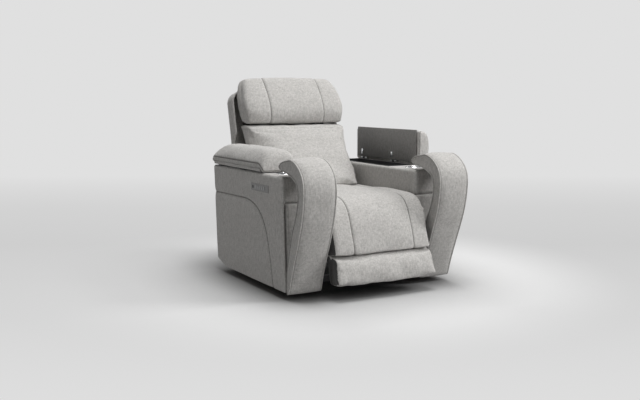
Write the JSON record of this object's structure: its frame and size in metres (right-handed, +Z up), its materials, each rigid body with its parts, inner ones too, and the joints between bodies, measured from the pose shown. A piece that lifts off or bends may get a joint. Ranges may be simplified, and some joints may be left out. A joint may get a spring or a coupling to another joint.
{
  "type": "power recliner chair",
  "caption": "Upholstered power recliner with lidded storage arms, cup holders, hooked front bands, a tilting headrest and a chaise leg rest on a parallel linkage.",
  "frame": {"origin": "centre of the four feet on the floor", "axes": "+Z up, -Y towards the front of the chair, +X towards the sitter's left arm"},
  "size_m": [1.0613, 1.2121, 1.086],
  "materials": {
    "upholstery": "heathered woven",
    "plywood": "raw",
    "black_steel": "satin",
    "zinc_steel": "zinc plated",
    "webbing": "woven",
    "black_plastic": "matte",
    "grey_plastic": "satin",
    "button_metal": "satin",
    "stainless": "polished"
  },
  "bodies": {
    "base": {"base_rails": "black_steel", "cross_tubes": "black_steel", "feet": "black_plastic", "mechanism_plates": "zinc_steel", "seat_frame": "plywood", "seat_webbing": "webbing", "seat_cushion": "upholstery", "right_arm_frame": "plywood", "left_arm_frame": "plywood", "right_arm_cover": "upholstery", "left_arm_cover": "upholstery", "right_side_panel": "upholstery", "left_side_panel": "upholstery", "right_front_panel": "upholstery", "left_front_panel": "upholstery", "right_front_band": "upholstery", "left_front_band": "upholstery", "right_storage_tray": "black_plastic", "left_storage_tray": "black_plastic", "cup_holders": "stainless", "hinge_bases": "black_plastic", "control_plate": "grey_plastic", "usb_port": "black_plastic", "leg_actuator": "black_plastic", "recline_actuator": "black_plastic", "power_supply": "black_plastic", "frame_bolts": "zinc_steel"},
    "right_lid": {"right_lid_hinges": "zinc_steel", "right_lid_board": "upholstery", "right_arm_pad": "upholstery"},
    "left_lid": {"left_lid_hinges": "zinc_steel", "left_lid_board": "upholstery", "left_arm_pad": "upholstery"},
    "cranks": {"torque_tube": "black_steel", "drive_links": "zinc_steel"},
    "rear_links": {"rear_links": "zinc_steel"},
    "upper_links": {"upper_links": "zinc_steel"},
    "lower_links": {"lower_links": "zinc_steel"},
    "legrest": {"leg_brackets": "zinc_steel", "leg_board": "plywood", "upper_leg_pad": "upholstery", "lower_leg_pad": "upholstery"},
    "leg_rod": {"leg_rod": "zinc_steel"},
    "back": {"recline_brackets": "black_steel", "head_supports": "zinc_steel", "back_frame": "plywood", "back_webbing": "webbing", "back_shell": "upholstery", "back_cushion": "upholstery", "head_actuator": "black_plastic"},
    "recline_rod": {"recline_rod": "zinc_steel"},
    "headrest": {"head_brackets": "zinc_steel", "head_board": "plywood", "headrest_cushion": "upholstery"},
    "head_rod": {"head_rod": "zinc_steel"},
    "recline_button": {"recline_button": "button_metal"},
    "upright_button": {"upright_button": "button_metal"},
    "head_forward_button": {"head_forward_button": "button_metal"},
    "head_back_button": {"head_back_button": "button_metal"},
    "home_button": {"home_button": "button_metal"}
  },
  "joints": [
    {"name": "right_lid_hinge", "type": "hinge", "parent": "base", "child": "right_lid", "pos_m": [-0.47, 0, 0.6003], "axis": [0, -1, 0], "range_deg": [0, 90]},
    {"name": "left_lid_hinge", "type": "hinge", "parent": "base", "child": "left_lid", "pos_m": [0.47, 0, 0.6003], "axis": [0, 1, 0], "range_deg": [-90, 0]},
    {"name": "backrest_recline", "type": "hinge", "parent": "base", "child": "back", "pos_m": [0, 0.25, 0.33], "axis": [-1, 0, 0], "range_deg": [0, 35]},
    {"name": "headrest_tilt", "type": "hinge", "parent": "back", "child": "headrest", "pos_m": [0, 0.31, 0.828], "axis": [1, 0, 0], "range_deg": [0, 28]},
    {"name": "legrest_lift", "type": "hinge", "parent": "base", "child": "legrest", "pos_m": [0, -0.6, 0.385], "axis": [-1, 0, 0], "range_deg": [0, 75]},
    {"name": "crank_turn", "type": "hinge", "parent": "base", "child": "cranks", "pos_m": [0, -0.4, 0.33], "axis": [-1, 0, 0], "range_deg": [0, 75]},
    {"name": "rear_link_turn", "type": "hinge", "parent": "base", "child": "rear_links", "pos_m": [0, -0.3, 0.3025], "axis": [-1, 0, 0], "range_deg": [0, 75]},
    {"name": "upper_link_turn", "type": "hinge", "parent": "cranks", "child": "upper_links", "pos_m": [0, -0.29, 0.245], "axis": [-1, 0, 0], "range_deg": [-75, 0]},
    {"name": "lower_link_turn", "type": "hinge", "parent": "cranks", "child": "lower_links", "pos_m": [0, -0.312, 0.125], "axis": [-1, 0, 0], "range_deg": [-75, 0]},
    {"name": "leg_rod_slide", "type": "slide", "parent": "base", "child": "leg_rod", "axis": [0, -1, 0], "range_m": [0, 0.09741]},
    {"name": "recline_rod_slide", "type": "slide", "parent": "base", "child": "recline_rod", "axis": [0, -1, 0], "range_m": [0, 0.06015]},
    {"name": "head_rod_slide", "type": "slide", "parent": "back", "child": "head_rod", "axis": [0, 0.2385, 0.9711], "range_m": [0, 0.05753]},
    {"name": "recline_button_press", "type": "slide", "parent": "base", "child": "recline_button", "axis": [1, 0, 0], "range_m": [0, 0.0012], "stiffness_N_per_m": 400},
    {"name": "upright_button_press", "type": "slide", "parent": "base", "child": "upright_button", "axis": [1, 0, 0], "range_m": [0, 0.0012], "stiffness_N_per_m": 400},
    {"name": "head_forward_button_press", "type": "slide", "parent": "base", "child": "head_forward_button", "axis": [1, 0, 0], "range_m": [0, 0.0012], "stiffness_N_per_m": 400},
    {"name": "head_back_button_press", "type": "slide", "parent": "base", "child": "head_back_button", "axis": [1, 0, 0], "range_m": [0, 0.0012], "stiffness_N_per_m": 400},
    {"name": "home_button_press", "type": "slide", "parent": "base", "child": "home_button", "axis": [1, 0, 0], "range_m": [0, 0.0012], "stiffness_N_per_m": 400}
  ],
  "couplings": [
    {"joint": "crank_turn", "follows": "legrest_lift", "ratio": 1},
    {"joint": "rear_link_turn", "follows": "legrest_lift", "ratio": 1},
    {"joint": "upper_link_turn", "follows": "legrest_lift", "ratio": -1},
    {"joint": "lower_link_turn", "follows": "legrest_lift", "ratio": -1},
    {"joint": "leg_rod_slide", "follows": "legrest_lift", "m_per_rad": 0.07441},
    {"joint": "recline_rod_slide", "follows": "backrest_recline", "m_per_rad": 0.098452},
    {"joint": "head_rod_slide", "follows": "headrest_tilt", "m_per_rad": 0.1177}
  ]
}
